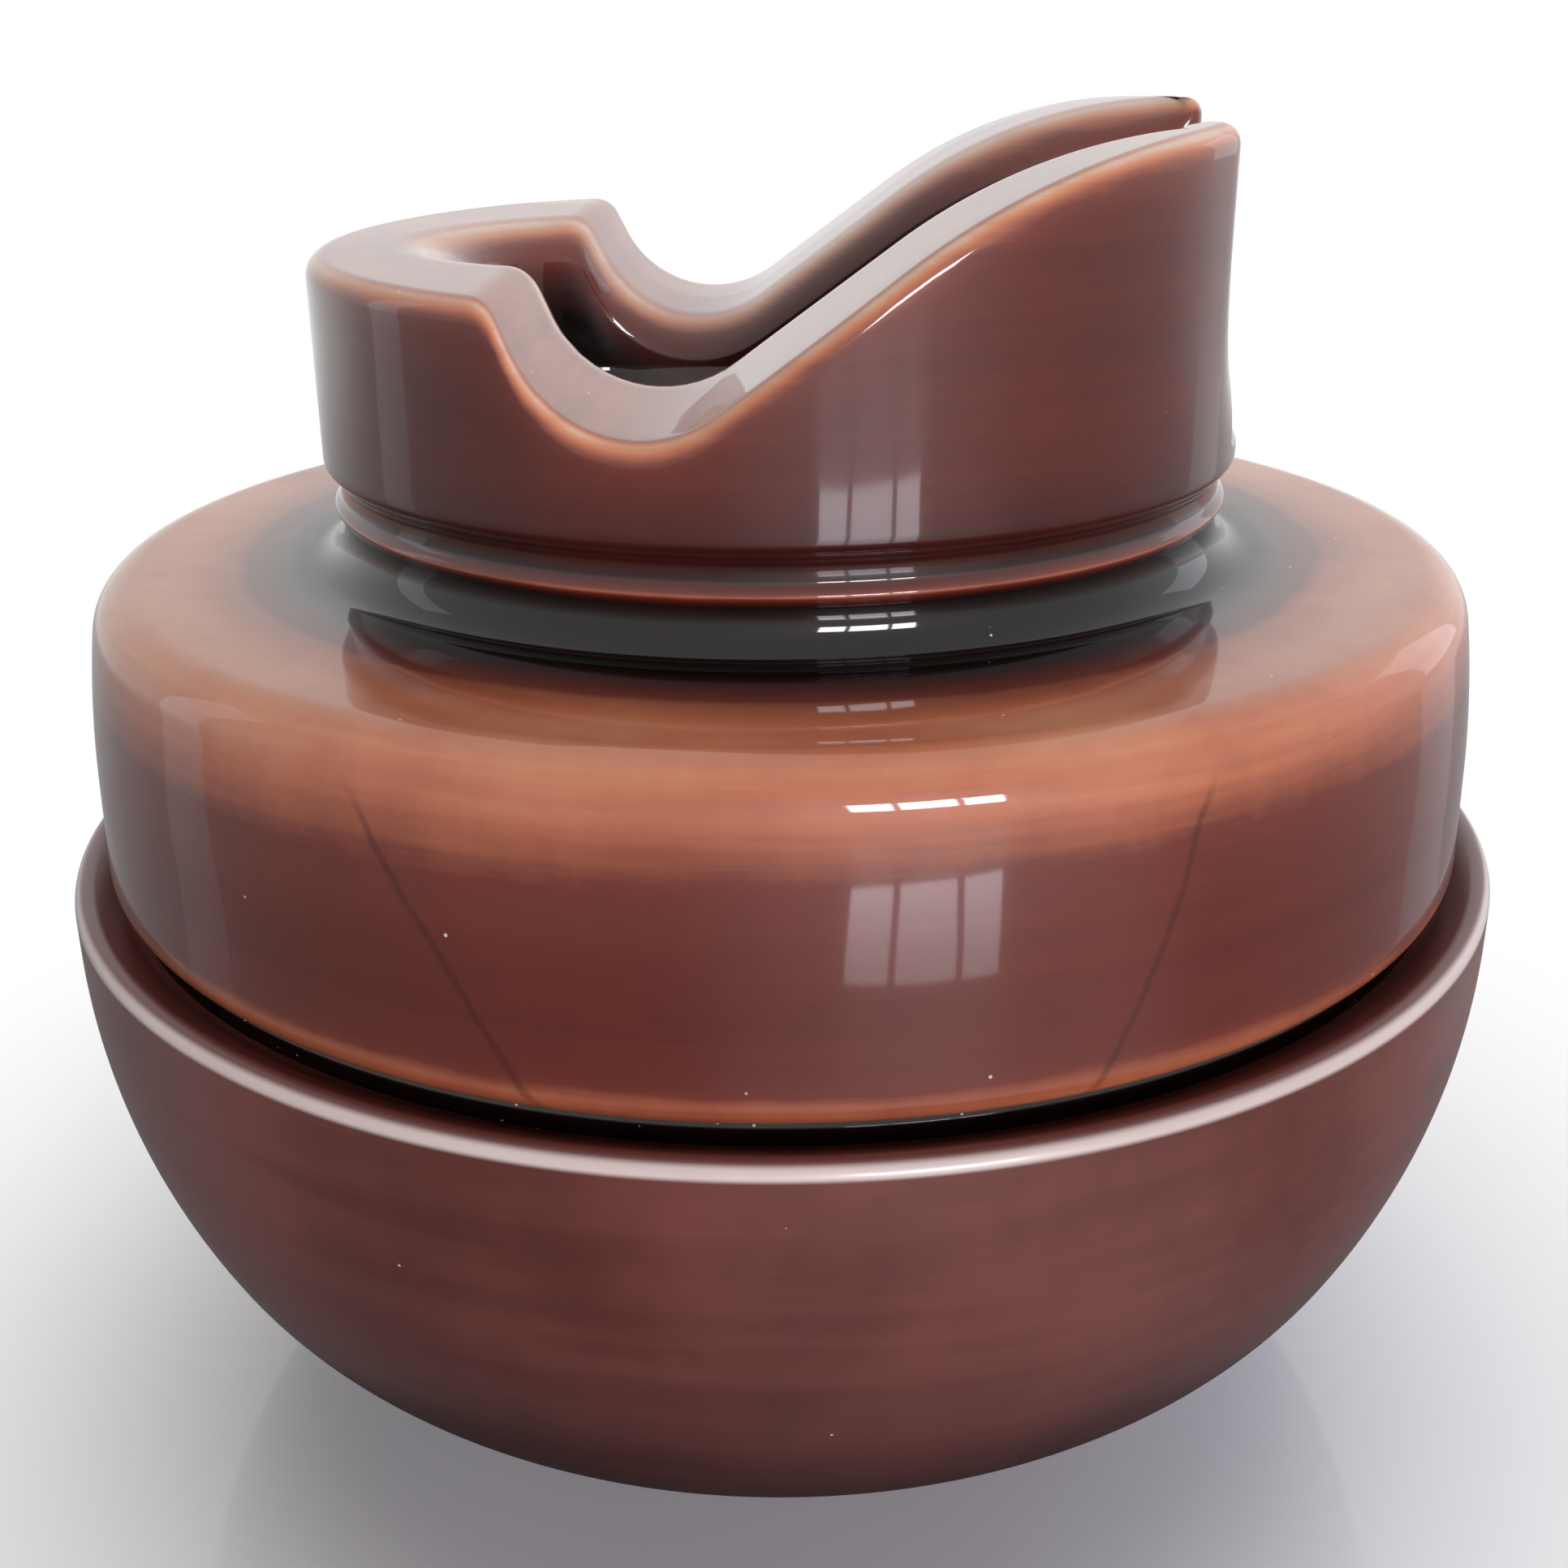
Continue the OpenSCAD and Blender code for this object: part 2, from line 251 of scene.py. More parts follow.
def wall_rows(plain, rounded, foot, edge_h, count=14):
    """Rows of an upright wall from foot height to edge_h below the top. The outline goes from the plain one
    at the slot's floor to the one with rounded corners blend_h higher."""
    top = saddle(*rounded.T) - edge_h
    rise = np.linspace(0, 1, count)[:, None] ** 1.2
    height = foot + rise * (top - foot)
    share = smooth_step((height - slot_z) / blend_h)[:, :, None]
    flat = plain + share * (rounded - plain)
    return np.concatenate([flat, height[:, :, None]], 2)


def edge_rows(rounded, inward, width, height, count=14):
    """Rows over a rolled top edge: at the angle a of the quarter ellipse the point lies width (1 - cos a)
    inside the wall and height (1 - sin a) below the top."""
    a = np.linspace(0, np.pi / 2, count)[1:, None]
    flat = rounded + (width * (1 - np.cos(a)))[:, :, None] * inward
    return np.concatenate([flat, (saddle(*flat.T).T - height * (1 - np.sin(a)))[:, :, None]], 2)


foot_part = np.linspace(0, 1, 4)[:-1, None]
foot_height = wall_foot_z + foot_part * (slot_z - wall_foot_z) + 0 * walk
foot_rows = np.concatenate([outer + 0 * foot_height[:, :, None], foot_height[:, :, None]], 2)
outer_wall = np.concatenate([foot_rows, wall_rows(outer, rounded_outer, slot_z, edge_r)])
outer_edge = edge_rows(rounded_outer, outer_in, edge_r, edge_r)
# The slot's own edge rolls over more softly, as far as the wall's thickness leaves room towards the mouth
roll_share = smooth_step((np.linalg.norm(outer - inner, axis=1) - edge_r) / (roll_w + roll_margin))
inner_roll = edge_r + roll_share * (roll_w - edge_r)
inner_drop = edge_r + roll_share * (roll_h - edge_r)
inner_edge = edge_rows(rounded_inner, inner_in, inner_roll, inner_drop)
across = np.linspace(0, 1, 22)[1:-1, None, None]
top_flat = outer_edge[-1, :, :2] * (1 - across) + inner_edge[-1, :, :2] * across
top_rows = np.concatenate([top_flat, saddle(*top_flat.T).T[:, :, None]], 2)

# The slot's floor meets its walls in a fillet that runs out towards the mouth's corners
floor_fillet_r, bare_points, growing_points = 3.0, 8, 14.0
from_end = np.minimum(np.arange(len(walk)), np.arange(len(walk))[::-1])
floor_fillet = floor_fillet_r * smooth_step((from_end - bare_points) / growing_points)
inner_wall = wall_rows(inner, rounded_inner, slot_z + floor_fillet, inner_drop)
fillet_turn = np.linspace(0, np.pi / 2, 7)[1:, None]
fillet_flat = inner + (floor_fillet * (1 - np.cos(fillet_turn)))[:, :, None] * slot_out
fillet_height = slot_z + floor_fillet * (1 - np.sin(fillet_turn))
fillet_rows = np.concatenate([fillet_flat, fillet_height[:, :, None]], 2)
head_top = np.concatenate([outer_wall, outer_edge, top_rows,
                           inner_edge[::-1], inner_wall[::-1], fillet_rows])

# Floor: rungs from the near side to the far side. Mouth: from the outermost rung to the collar's round
half_walk = (len(walk) + 1) // 2
near_side = fillet_rows[-1, :half_walk]
far_side = fillet_rows[-1, ::-1][:half_walk]
rung = np.linspace(0, 1, 25)[:, None, None]
slot_floor = near_side * (1 - rung) + far_side * rung
mouth_turn = np.linspace(near_mouth, far_mouth, 25)
lip_r = 1.8
lip = lip_r * np.sin(np.pi * np.linspace(0, 1, 25)) ** 0.5
lip_turn = np.linspace(0, np.pi / 2, 7)[1:, None]
mouth_round = np.stack([np.cos(mouth_turn), np.sin(mouth_turn)], 1)
lip_flat = (collar_r - lip * (1 - np.cos(lip_turn)))[:, :, None] * mouth_round
lip_rows = np.concatenate([lip_flat, (slot_z - lip * (1 - np.sin(lip_turn)))[:, :, None]], 2)
wall_part = np.linspace(0, 1, 4)[:, None]
mouth_wall = np.concatenate([collar_r * mouth_round + 0 * wall_part[:, :, None],
                             (wall_foot_z + wall_part * (slot_z - lip - wall_foot_z))[:, :, None]], 2)
to_rung = np.linspace(0, 1, 6)[1:, None, None]
mouth_floor = lip_rows[-1] * (1 - to_rung) + slot_floor[:, 0] * to_rung
head_mouth = np.concatenate([mouth_wall, lip_rows, mouth_floor])

# Turned body below the collar, from the roof of the pin hole round to the collar's foot
shed_r, shed_edge_r, shed_lean, shoulder_lean = 77.2, 2.4, 1.3, 9.5
shed_edge = arc([shed_r - shed_edge_r, shed_z], 0, 90 + shed_lean, shed_edge_r, 12)
shed_curve_r, shoulder_r = 110.0, 5.0
curve_h = shed_curve_r * (np.cos(np.radians(90 + shed_lean)) - np.cos(np.radians(90 + shoulder_lean)))
shoulder_h = shoulder_r * (np.cos(np.radians(90 + shoulder_lean)) + 1)
straight_h = shoulder_z - shed_edge[-1, 1] - curve_h - shoulder_h
straight_top = shed_edge[-1] + straight_h * np.array([-np.tan(np.radians(shed_lean)), 1])
shed_curve = arc(straight_top, 90 + shed_lean, 90 + shoulder_lean, shed_curve_r, 14)
shed_shoulder = arc(shed_curve[-1], 90 + shoulder_lean, 180, shoulder_r, 18)
neck_fillet_r, bead_z, bead_w, bead_out = 4.0, shoulder_z + 6.2, 2.6, 0.8
neck_foot = arc([neck_r + neck_fillet_r, shoulder_z], 180, 90, neck_fillet_r, 10)
bead_part = np.linspace(-1, 1, 15)
neck_bead = np.stack([neck_r + bead_out * (1 + np.cos(np.pi * bead_part)) / 2,
                      bead_z + bead_part * bead_w / 2], 1)
bead_top = bead_z + bead_w / 2
flare_z = bead_top + (neck_z - bead_top) / 3
flare_part = np.linspace(0, 1, 10)
neck_flare = np.stack([neck_r + (collar_r - neck_r) * (1 - np.cos(np.pi * flare_part)) / 2,
                       flare_z + flare_part * (neck_z - flare_z)], 1)
under_fillet, hole_corner_r, hole_edge_r = 1.5, 2.0, 0.6
head_profile = np.concatenate([
    line((0, hole_top), (hole_r - hole_corner_r, hole_top), 3),
    arc((hole_r - hole_corner_r, hole_top), 0, -90, hole_corner_r, 5)[1:],
    line((hole_r, hole_top - hole_corner_r), (hole_r, spigot_z + hole_edge_r), 6)[1:],
    arc((hole_r, spigot_z + hole_edge_r), 270, 360, hole_edge_r, 4)[1:],
    line((hole_r + hole_edge_r, spigot_z), (spigot_r - spigot_corner_r, spigot_z), 4)[1:],
    arc((spigot_r - spigot_corner_r, spigot_z), 0, 90, spigot_corner_r, 10)[1:],
    line((spigot_r, spigot_z + spigot_corner_r), (spigot_r, shed_z - under_fillet), 4)[1:],
    arc((spigot_r, shed_z - under_fillet), 90, 0, under_fillet, 4)[1:],
    shed_edge, line(shed_edge[-1], straight_top, 6)[1:-1], shed_curve, shed_shoulder[1:],
    line(shed_shoulder[-1], neck_foot[0], 10)[1:-1], neck_foot, neck_bead[:-1],
    line(neck_bead[-1], neck_flare[0], 3)[:-1], neck_flare, [[collar_r, wall_foot_z]]])
around = np.concatenate([walk, mouth_turn[::-1][1:] - 2 * np.pi])

# Glaze thickness: thin over the shoulder and on every edge of the head, pooled in the neck and the slot. The
# palest values, on the head's top edges and on the bead, are also a painted highlight.
neck_foot_w, roof_r, roof_h = 3.8, 74.0, 3.0
body_r, body_z = head_profile.T
wall_coat = np.interp(body_z, [shed_z, shed_z + 2.4, shed_z + 5, 78.0, 88.0, 94.0, shoulder_z],
                      [0.22, 0.3, 0.5, 0.52, 0.4, 0.2, 0.16])
roof_coat = np.interp(body_r, [neck_r + 4, 56.0, 60.0, 66.0], [0.95, 0.7, 0.3, 0.15])
neck_coat = np.interp(body_z, [shoulder_z, bead_z - 1, bead_z + 2, neck_z], [1.0, 0.98, 0.8, 0.7])
on_neck = body_r <= neck_r + neck_foot_w
on_roof = (body_r < roof_r) & (body_z >= shoulder_z - roof_h)
body_coat_and_highlight = np.select([on_neck, on_roof], [neck_coat, roof_coat], wall_coat)
# The bead's top is paler: the glaze runs thin there, and the paleness is also a painted highlight
bead_share = np.clip(1 - np.abs(body_z - bead_z) / (bead_w / 2), 0, 1) * (np.abs(body_r - neck_r) < 2)
bead_thins_and_highlight = 0.65
body_coat_and_highlight = body_coat_and_highlight - bead_thins_and_highlight * bead_share
rim_drop = saddle(*head_top[:, :, :2].T).T - head_top[:, :, 2]
rise = head_top[:, :, 2] - neck_z
# Along the top edges the glaze runs thin, and the pale line there is also a painted highlight
top_coat_and_highlight = np.interp(rim_drop, [0.02, 0.3, 0.7, 1.6, 3.5, 8.0], [0.3, 0.03, 0.08, 0.32, 0.5, 0.6])
foot_gain, foot_gain_h = 0.1, 4.0
top_coat_and_highlight = top_coat_and_highlight + foot_gain * np.exp(-rise / foot_gain_h)
slot_edge_rows = 3
slot_rows = len(inner_wall) + len(fillet_rows) + slot_edge_rows
inner_rows = np.arange(len(head_top)) >= len(head_top) - slot_rows
slot_tone = np.interp(rim_drop, [0, 3, 7, 12], [0.26, 0.42, 0.78, 1.0])
head_coat_and_highlight = np.where(inner_rows[:, None], slot_tone, top_coat_and_highlight)
head = shell("head", [spin(head_profile, around), head_top, slot_floor, head_mouth],
             [body_coat_and_highlight[:, None], head_coat_and_highlight, 0.98, 0.8])
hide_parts("head_shell")
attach(head, "root")


class Value:
    """One socket of a material's nodes. Arithmetic on it adds Math nodes."""

    def __init__(self, finish, socket):
        self.finish, self.socket = finish, socket

    def maths(self, operation, *terms):
        return self.finish.node("ShaderNodeMath", {"operation": operation}, dict(enumerate(terms)))

    def __add__(self, other):
        return self.maths("ADD", self, other)

    def __sub__(self, other):
        return self.maths("SUBTRACT", self, other)

    def __rsub__(self, other):
        return self.maths("SUBTRACT", other, self)

    def __mul__(self, other):
        return self.maths("MULTIPLY", self, other)

    def __truediv__(self, other):
        return self.maths("DIVIDE", self, other)

    def __pow__(self, other):
        return self.maths("POWER", self, other)

    __radd__, __rmul__ = __add__, __mul__

    def ramp(self, low, high):
        """0 below low and 1 above high, with an eased rise between; low above high falls instead."""
        return self.finish.node("ShaderNodeMapRange", {"interpolation_type": "SMOOTHSTEP"},
                                {"Value": self, "From Min": low, "From Max": high})

    def band(self, low, high, soft):
        """1 between low and high, easing to 0 over soft outside them."""
        return self.ramp(low - soft, low) * self.ramp(high + soft, high)


class Finish:
    """A material on one Principled shader, built from nodes, their settings and their sockets' values."""

    def __init__(self, name, **constants):
        self.material = bpy.data.materials.new(name)
        self.material.use_nodes = True
        self.tree = self.material.node_tree
        self.shader = self.tree.nodes["Principled BSDF"]
        for socket, value in constants.items():
            self.shader.inputs[socket.replace("_", " ")].default_value = value
        self.place = self.node("ShaderNodeTexCoord", out="Object")
        self.split(self.place)

    def split(self, way):
        """Keeps the parts x, y and z of a vector, and its radius in plan."""
        self.x, self.y, self.z = (self.node("ShaderNodeSeparateXYZ", {}, {0: way}, out=k) for k in range(3))
        self.radius = (self.x * self.x + self.y * self.y) ** 0.5

    def node(self, kind, settings=None, inputs=None, out=0):
        """Adds a node: first its settings, where stops are a ramp's positions and colours, then sockets."""
        made = self.tree.nodes.new(kind)
        for key, value in (settings or {}).items():
            if key == "stops":
                elements = made.color_ramp.elements
                while len(elements) < len(value):
                    elements.new(0.5)
                for stop, (position, colour) in zip(elements, value):
                    stop.position, stop.color = position, colour
            else:
                setattr(made, key, value)
        for key, value in (inputs or {}).items():
            if isinstance(value, Value):
                self.tree.links.new(value.socket, made.inputs[key])
            else:
                made.inputs[key].default_value = value
        return Value(self, made.outputs[out])

    def noise(self, scale, detail=3.0, rough=0.5, stretch=(1, 1, 1)):
        """Cloudy pattern of the given number of lumps a metre, finer by the stretch along each axis."""
        at = self.node("ShaderNodeMapping", {}, {"Vector": self.place, "Scale": stretch})
        return self.node("ShaderNodeTexNoise", {},
                         {"Vector": at, "Scale": scale, "Detail": detail, "Roughness": rough}, "Fac")

    def specks(self, cells, size, chance):
        """Round dots of the given size in a share of the cells, with so many cells a metre."""
        cell = {"Vector": self.place, "Scale": cells, "Randomness": 1.0}
        near = self.node("ShaderNodeTexVoronoi", {}, cell, "Distance")
        pick = self.node("ShaderNodeSeparateColor", {},
                         {0: self.node("ShaderNodeTexVoronoi", {}, cell, "Color")})
        return near.ramp(size, size * 0.6) * pick.ramp(chance + 0.001, chance)

    def mix(self, share, first, second):
        """Colour that goes from first to second with the share."""
        return self.node("ShaderNodeMix", {"data_type": "RGBA"}, {0: share, 6: first, 7: second}, 2)

    def bump(self, height, distance):
        """Normal bent by a height pattern that stands for distance metres."""
        return self.node("ShaderNodeBump", {}, {"Height": height, "Distance": distance, "Strength": 1.0})

    def feed(self, **sockets):
        """Links patterns to the shader's sockets and returns the material."""
        for socket, value in sockets.items():
            self.tree.links.new(value.socket, self.shader.inputs[socket.replace("_", " ")])
        return self.material


def rgb(red, green, blue):
    """Linear colour of an on-screen colour given in 0 to 255."""
    screen = np.array([red, green, blue]) / 255
    linear = np.where(screen <= 0.04045, screen / 12.92, ((screen + 0.055) / 1.055) ** 2.4)
    return (*linear, 1.0)


# Brown glaze: pale beige where it is thinnest, which on the head's top edges and the bead is also a painted
# highlight, orange where it ran thin, red-brown on the walls and nearly black where it pooled. Its crisp
# gloss follows the faint waves of the surface, and a softer haze lies over it except where it pooled.
glaze = Finish("brown_glaze", Roughness=0.04, IOR=1.5, Specular_IOR_Level=0.4,
               Coat_Roughness=0.45, Coat_IOR=1.5)
coat = glaze.node("ShaderNodeAttribute", {"attribute_name": "coat"}, {}, "Fac")
mottle = glaze.noise(45, 5, 0.6, (1, 1, 0.6))
brush = glaze.noise(120, 5, 0.65, (0.12, 0.12, 3.0))
depth_and_highlight = coat + (mottle - 0.5) * 0.26 + (brush - 0.5) * 0.22
tone = glaze.node("ShaderNodeValToRGB", {"stops": (
    (0.0, rgb(214, 186, 160)), (0.08, rgb(206, 142, 104)), (0.2, rgb(182, 106, 73)),
    (0.38, rgb(106, 43, 30)), (0.58, rgb(84, 28, 19)), (0.8, rgb(42, 12, 9)),
    (0.97, rgb(10, 4, 3)))}, {0: depth_and_highlight})
# Two thin runs of thicker glaze cross the shed's wall at a slant: each starts at a bearing in radians on the
# height run_top and leans by so many radians a metre
bearing = glaze.node("ShaderNodeMath", {"operation": "ARCTAN2"}, {0: glaze.x, 1: glaze.y * -1.0})
run_top = 0.095
for start, lean in ((0.564, 6.1), (-0.4625, -8.5)):
    off = bearing - (glaze.z - run_top) * lean - start + (mottle - 0.5) * 0.08
    run = ((off * off) ** 0.5).ramp(0.009, 0.002) * glaze.z.band(0.070, 0.090, 0.005)
    tone = glaze.mix(run * 0.5, tone, rgb(58, 10, 6))
dust = glaze.specks(240, 0.05, chance=0.3)
tone = glaze.mix(dust * 0.85, tone, rgb(228, 220, 214))
wave = glaze.noise(38, 2, 0.4)
haze = 0.42 - 0.34 * coat.ramp(0.7, 0.95)
head.data.materials.append(glaze.feed(
    Base_Color=tone, Coat_Weight=haze, Normal=glaze.bump(wave, 0.0002)))

# Bowl shell ---------------------------------------------------------------------------------------
# The lower shell is a thrown porcelain bowl with a narrow rim and a socket for the spigot. It is glazed in
# the same brown, but thinner and more satin. Its colour is pale along the rim, partly as a painted
# highlight, and darker towards the foot.
foot_r, mouth_r, mouth_chamfer, floor_t = 34.0, 26.0, 2.0, 15.0
bowl_h, rim_r, rim_slope, socket_r, socket_corner_r = 65.8, 1.6, 28.0, 62.0, 24.0
bowl_bottom = arc([foot_r, 0], 17.5, 38, 93.5, 22)
bowl_haunch = arc(bowl_bottom[-1], 38, 63, 36.5, 22)
bowl_side = arc(bowl_haunch[-1], 63, 90, 72.0, 26)
bowl_rim = arc([bowl_side[-1, 0], bowl_h - rim_r], 90, 180 + rim_slope, rim_r, 20)
land_r = bowl_rim[-1, 0] - (bowl_rim[-1, 1] - land_z) / np.tan(np.radians(rim_slope))
bowl_profile = np.concatenate([
    line((mouth_r, floor_t), (mouth_r, mouth_chamfer), 6),
    line((mouth_r + mouth_chamfer, 0), (foot_r - 0.5, 0), 6),
    bowl_bottom, bowl_haunch[1:], bowl_side[1:], line(bowl_side[-1], bowl_rim[0], 5)[1:], bowl_rim[1:],
    line(bowl_rim[-1], (land_r, land_z), 5)[1:], line((land_r, land_z), (socket_r, land_z), 8)[1:],
    line((socket_r, land_z), (socket_r, floor_t + socket_corner_r), 8)[1:],
    arc((socket_r, floor_t + socket_corner_r), 270, 180, socket_corner_r, 12)[1:],
    line((socket_r - socket_corner_r, floor_t), (mouth_r, floor_t), 5)[1:]])
turn = np.linspace(0, 2 * np.pi, 289)
bowl = shell("bowl", [spin(bowl_profile, turn)])
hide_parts("bowl_shell")
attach(bowl, "root")
satin = Finish("bowl_glaze", IOR=1.5, Specular_IOR_Level=0.4,
               Coat_Weight=0.2, Coat_Roughness=0.12, Coat_IOR=1.5)
cloud = satin.noise(26, 4, 0.6, (1, 1, 0.7))
throw = satin.noise(30, 4, 0.6, (0.3, 0.3, 5.0))
tone = satin.mix((cloud * 0.6 + throw * 0.4).ramp(0.35, 0.65), rgb(84, 40, 34), rgb(116, 63, 55))
# The colour is mixed darker towards the foot
towards_foot = satin.z.ramp(0.054, 0.012)
tone = satin.mix(towards_foot * 0.85, tone, rgb(36, 20, 20))
# The rim's outer part is pale, partly from thin glaze and partly as a painted highlight along its top, and
# inside it the face that slopes down to the land is a plainer brown
pale_from_r, pale_full_r = 0.0804, 0.0810
crest_highlight = satin.z.ramp(0.0641, 0.0647) * satin.radius.ramp(pale_from_r, pale_full_r)
inner_face = satin.z.ramp(0.0638, 0.0642) * satin.radius.ramp(pale_full_r, pale_from_r)
inner_face *= satin.radius.ramp(0.0745, 0.0752)
tone = satin.mix(inner_face * (0.6 + 0.3 * throw), tone, rgb(104, 54, 50))
tone = satin.mix(crest_highlight * (0.42 + 0.6 * throw), tone, rgb(244, 230, 220))
dust = satin.specks(260, 0.05, chance=0.15)
tone = satin.mix(dust * 0.8, tone, rgb(222, 212, 206))
ripple = satin.noise(60, 3, 0.5, (0.4, 0.4, 2.5))
bowl.data.materials.append(satin.feed(
    Base_Color=tone, Roughness=0.26 + 0.14 * cloud, Normal=satin.bump(ripple, 0.0001)))

# Joint glaze --------------------------------------------------------------------------------------
# A bead of dark glaze fills the gap between the rim's land and the underside of the shed. It is fired on
# after the shells are joined, creeps out over the land in a hollow fillet, and holds pin-sized bubbles,
# whose glints are painted as pale specks.
glaze_in, glaze_depth, glaze_creep = 2.6, 4.2, 2.0
glaze_face_r = land_r - glaze_in
glaze_back_r = glaze_face_r - glaze_depth
face_turn = np.radians(np.linspace(90, 0, 14))
face = np.stack([glaze_face_r + glaze_creep * (1 - np.cos(face_turn)),
                 shed_z - joint_t * np.sin(face_turn)], 1)
bead = shell("joint_bead", [spin(np.concatenate([
    line((glaze_back_r, shed_z), (glaze_back_r, land_z), 3),
    line((glaze_back_r, land_z), face[0], 4)[1:], face[1:],
    line(face[-1], (glaze_back_r, shed_z), 4)[1:]]), turn)])
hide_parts("joint_glaze")
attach(bead, "root")
dark = Finish("dark_glaze", Roughness=0.06, IOR=1.5)
# Pale specks are painted glints on the bubbles
bubble_glints = dark.specks(900, 0.16, chance=0.3)
tone = dark.mix(bubble_glints, rgb(18, 8, 8), rgb(190, 185, 185))
bead.data.materials.append(dark.feed(Base_Color=tone))

# Cement and sand ----------------------------------------------------------------------------------
# Portland cement is poured between the shells and round the thimble, and keys into bands of crushed
# porcelain that are fired on beforehand. Only the ring of cement at the mouth of the pin hole is seen.


def finish_node(node, finish):
    """Gives a CAD node the finish as its only material."""
    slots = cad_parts[node].data.materials
    slots.clear()
    slots.append(finish.material)


grout = Finish("cement", Roughness=0.85)
grain = grout.noise(900, 5, 0.65)
tone = grout.mix(grain.ramp(0.3, 0.7), rgb(150, 146, 138), rgb(186, 182, 172))
grout.feed(Base_Color=tone, Normal=grout.bump(grain, 0.0003))
sand = Finish("fired_sand", Roughness=0.9)
grit = sand.noise(1600, 4, 0.7)
tone = sand.mix(grit.ramp(0.35, 0.65), rgb(168, 142, 110), rgb(220, 204, 178))
sand.feed(Base_Color=tone, Normal=sand.bump(grit, 0.0005))
for node, finish in (("shell_cement", grout), ("thimble_cement", grout), ("spigot_sand", sand),
                     ("socket_sand", sand), ("hole_sand", sand)):
    finish_node(node, finish)

# Felt ring and cork disc --------------------------------------------------------------------------
# A felt ring under the spigot and a cork disc over the thimble take up the swelling of the cement. Both are
# cut from sheet and laid in dry.
felt = Finish("felt", Roughness=1.0)
fibre = felt.noise(2500, 3, 0.7, (1, 1, 4))
tone = felt.mix(fibre.ramp(0.3, 0.7), rgb(52, 48, 44), rgb(92, 86, 78))
felt.feed(Base_Color=tone, Normal=felt.bump(fibre, 0.0002))
cork = Finish("cork", Roughness=0.9)
crumb = cork.noise(700, 4, 0.6)
tone = cork.mix(crumb.ramp(0.35, 0.65), rgb(120, 84, 52), rgb(196, 154, 104))
cork.feed(Base_Color=tone, Normal=cork.bump(crumb, 0.0002))
finish_node("spigot_cushion", felt)
finish_node("thimble_disc", cork)

# Pin thimble --------------------------------------------------------------------------------------
# A cast zinc cup with the coarse round thread of an insulator pin inside. It is set in cement in the pin
# hole, flush with the end of the spigot.
thread_r, thread_depth, pitch, thimble_r = 15.9, 1.5, 6.35, 20.4
thread_len, thimble_h, thread_fade = 46.25, 49.25, 4.0
thread_turn = np.linspace(0, 2 * np.pi, 97)
thread_at = np.linspace(0, thread_len, 150)
phase = thread_at[:, None] / pitch - thread_turn / (2 * np.pi)
fade = smooth_step(thread_at / thread_fade) * smooth_step((thread_len - thread_at) / thread_fade)
bore = thread_r + thread_depth * (0.5 - 0.5 * np.cos(2 * np.pi * phase)) * fade[:, None]
thread = np.stack([bore * np.cos(thread_turn), bore * np.sin(thread_turn),
                   spigot_z + thread_at[:, None] + 0 * bore], 2)
cup = spin(np.concatenate([
    line((thread_r, spigot_z), (thimble_r - 0.5, spigot_z), 4),
    [(thimble_r, spigot_z + 0.5)], line((thimble_r, spigot_z + 1), (thimble_r, spigot_z + thimble_h), 6),
    line((thimble_r, spigot_z + thimble_h), (0, spigot_z + thimble_h), 5)[1:]]), thread_turn)
roof = spin(line((thread_r, spigot_z + thread_len), (0, spigot_z + thread_len), 5), thread_turn)
thimble = shell("thimble", [thread, cup, roof])
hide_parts("pin_thimble")
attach(thimble, "root")
zinc = Finish("zinc", Metallic=1.0, Roughness=0.5)
bloom = zinc.noise(300, 4, 0.6)
tone = zinc.mix(bloom.ramp(0.3, 0.7), rgb(132, 134, 138), rgb(184, 186, 188))
thimble.data.materials.append(zinc.feed(Base_Color=tone, Roughness=0.4 + 0.25 * bloom))

# Floor and light ----------------------------------------------------------------------------------
# The insulator stands on a pale polished floor before plain white. A three-light window stands in front on
# the right, bright walls behind, narrow cards at the sides and a soft ceiling panel above.
reach = 3.0
floor_corners = [(-reach, -reach, 0), (reach, -reach, 0), (reach, reach, 0), (-reach, reach, 0)]
floor_mesh = bpy.data.meshes.new("floor")
floor_mesh.from_pydata(floor_corners, [], [(0, 1, 2, 3)])
floor = bpy.data.objects.new("floor", floor_mesh)
bpy.context.scene.collection.objects.link(floor)
polished = Finish("floor", Roughness=0.35, IOR=1.5, Coat_Weight=1.0, Coat_Roughness=0.05, Coat_IOR=1.5)
fleck = polished.noise(20, 3, 0.5)
seen = polished.node("ShaderNodeLightPath", {}, {}, "Is Camera Ray")
# The floor looks pale, but throws light on the insulator as a mid grey one does
pale = polished.mix(fleck, rgb(238, 238, 238), rgb(244, 244, 244))
polished.feed(Base_Color=polished.mix(seen, rgb(104, 101, 104), pale))
white = polished.node("ShaderNodeEmission", {}, {"Strength": 1.0})
lit = Value(polished, polished.shader.outputs[0])
mirrored = polished.node("ShaderNodeLightPath", {}, {}, "Is Glossy Ray")
through = polished.node("ShaderNodeLightPath", {}, {}, "Is Transmission Ray")
# Away from the foot the floor is plain white; a reflection sees this in part under the window, as a painted
# pool of window light, and in full far behind, and elsewhere the lit floor, which mirrors the window
far = polished.radius.ramp(0.06, 0.16)
farther = polished.radius.ramp(0.45, 0.9)
window_x, window_y = 0.407, -0.914
glare = ((polished.x * window_x + polished.y * window_y) / polished.radius).ramp(0.80, 0.95)
behind = (polished.y / polished.radius).ramp(0.2, 0.6)
shown = far * (seen + through + mirrored * (glare * 0.45 + behind * farther))
surface = polished.node("ShaderNodeMixShader", {}, {0: shown, 1: lit, 2: white})
polished.tree.links.new(surface.socket, polished.tree.nodes["Material Output"].inputs["Surface"])
floor_mesh.materials.append(polished.material)


